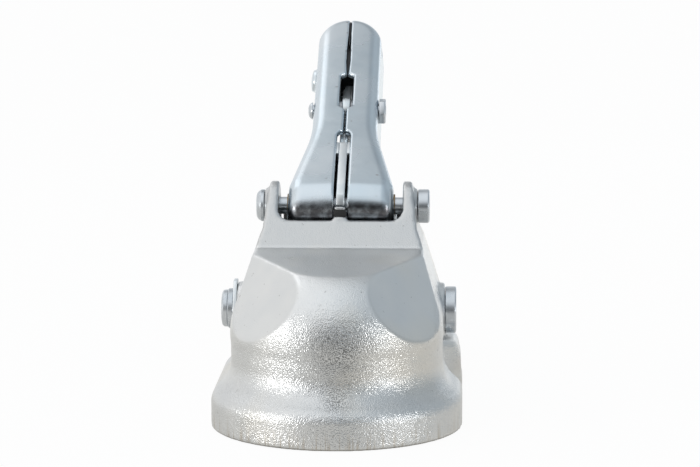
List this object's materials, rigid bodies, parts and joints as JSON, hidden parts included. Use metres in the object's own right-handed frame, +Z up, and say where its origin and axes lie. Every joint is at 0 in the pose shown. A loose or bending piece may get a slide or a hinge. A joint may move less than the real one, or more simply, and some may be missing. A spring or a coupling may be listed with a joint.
{
  "type": "trailer ball coupling",
  "caption": "Cast trailer coupling with a ball cup, a spring-closed ball clamp, a lifting handle with a finger latch and a round drawbar sleeve.",
  "frame": {"origin": "centre of the tow ball in the cup", "axes": "+Z up, +Y along the drawbar sleeve away from the nose, +X to the right seen from the front"},
  "size_m": [0.0988, 0.2174, 0.1496],
  "materials": {
    "cast_zinc": "sandy cast, zinc plated",
    "handle_zinc": "pressed sheet, bright zinc plated",
    "pin_zinc": "turned, zinc plated",
    "link_steel": "plain steel",
    "latch_zinc": "stamped, zinc plated",
    "black_plastic": "moulded, satin",
    "black_rubber": "moulded rubber",
    "bush_bronze": "plain bearing bronze",
    "jaw_cast": "cast, greased",
    "spring_steel": "oiled spring wire"
  },
  "bodies": {
    "base": {"housing": "cast_zinc", "handle_pivot_bolt": "pin_zinc", "handle_pivot_collar": "pin_zinc", "jaw_spring": "spring_steel", "latch_buffer": "black_rubber"},
    "handle": {"handle_shell_left": "handle_zinc", "handle_shell_right": "handle_zinc", "pivot_bush_left": "bush_bronze", "pivot_bush_right": "bush_bronze", "crank_pin": "pin_zinc", "link_spacer_left": "link_steel", "link_spacer_right": "link_steel", "trigger_rivet": "pin_zinc", "trigger_spacer_left": "link_steel", "trigger_spacer_right": "link_steel", "tail_rivet": "pin_zinc", "latch_spring": "spring_steel", "latch_guide": "black_plastic"},
    "jaw": {"ball_jaw": "jaw_cast", "jaw_pin": "pin_zinc", "jaw_pin_cap": "pin_zinc", "jaw_pin_washer": "pin_zinc", "wear_indicator": "pin_zinc", "link_pin": "pin_zinc"},
    "links": {"pull_link_left": "link_steel", "pull_link_right": "link_steel"},
    "latch": {"latch_bolt": "latch_zinc", "bolt_clip": "latch_zinc"},
    "finger_lever": {"trigger": "latch_zinc"}
  },
  "joints": [
    {"name": "handle_lift", "type": "hinge", "parent": "base", "child": "handle", "pos_m": [0, 0.043, 0.065], "axis": [1, 0, 0], "range_deg": [0, 60], "stiffness_Nm_per_rad": 0.6, "springref_deg": -11.46},
    {"name": "jaw_open", "type": "hinge", "parent": "base", "child": "jaw", "pos_m": [0, 0.043, 0.0225], "axis": [1, 0, 0], "range_deg": [0, 24], "deforming": ["jaw_spring"]},
    {"name": "link_swing", "type": "hinge", "parent": "handle", "child": "links", "pos_m": [0, 0.05123, 0.06025], "axis": [1, 0, 0], "range_deg": [-64, 0]},
    {"name": "trigger_squeeze", "type": "hinge", "parent": "handle", "child": "finger_lever", "pos_m": [0, 0.09296, 0.09846], "axis": [1, 0, 0], "range_deg": [0, 20.1]},
    {"name": "latch_draw", "type": "slide", "parent": "handle", "child": "latch", "axis": [0, 0.866, 0.5], "range_m": [0, 0.0035], "stiffness_N_per_m": 200, "springref_m": -0.005, "deforming": ["latch_spring"]}
  ],
  "couplings": [
    {"joint": "jaw_open", "follows": "handle_lift", "ratio": 0.4},
    {"joint": "link_swing", "follows": "handle_lift", "ratio": -1.05},
    {"joint": "trigger_squeeze", "follows": "latch_draw", "rad_per_m": 100}
  ]
}
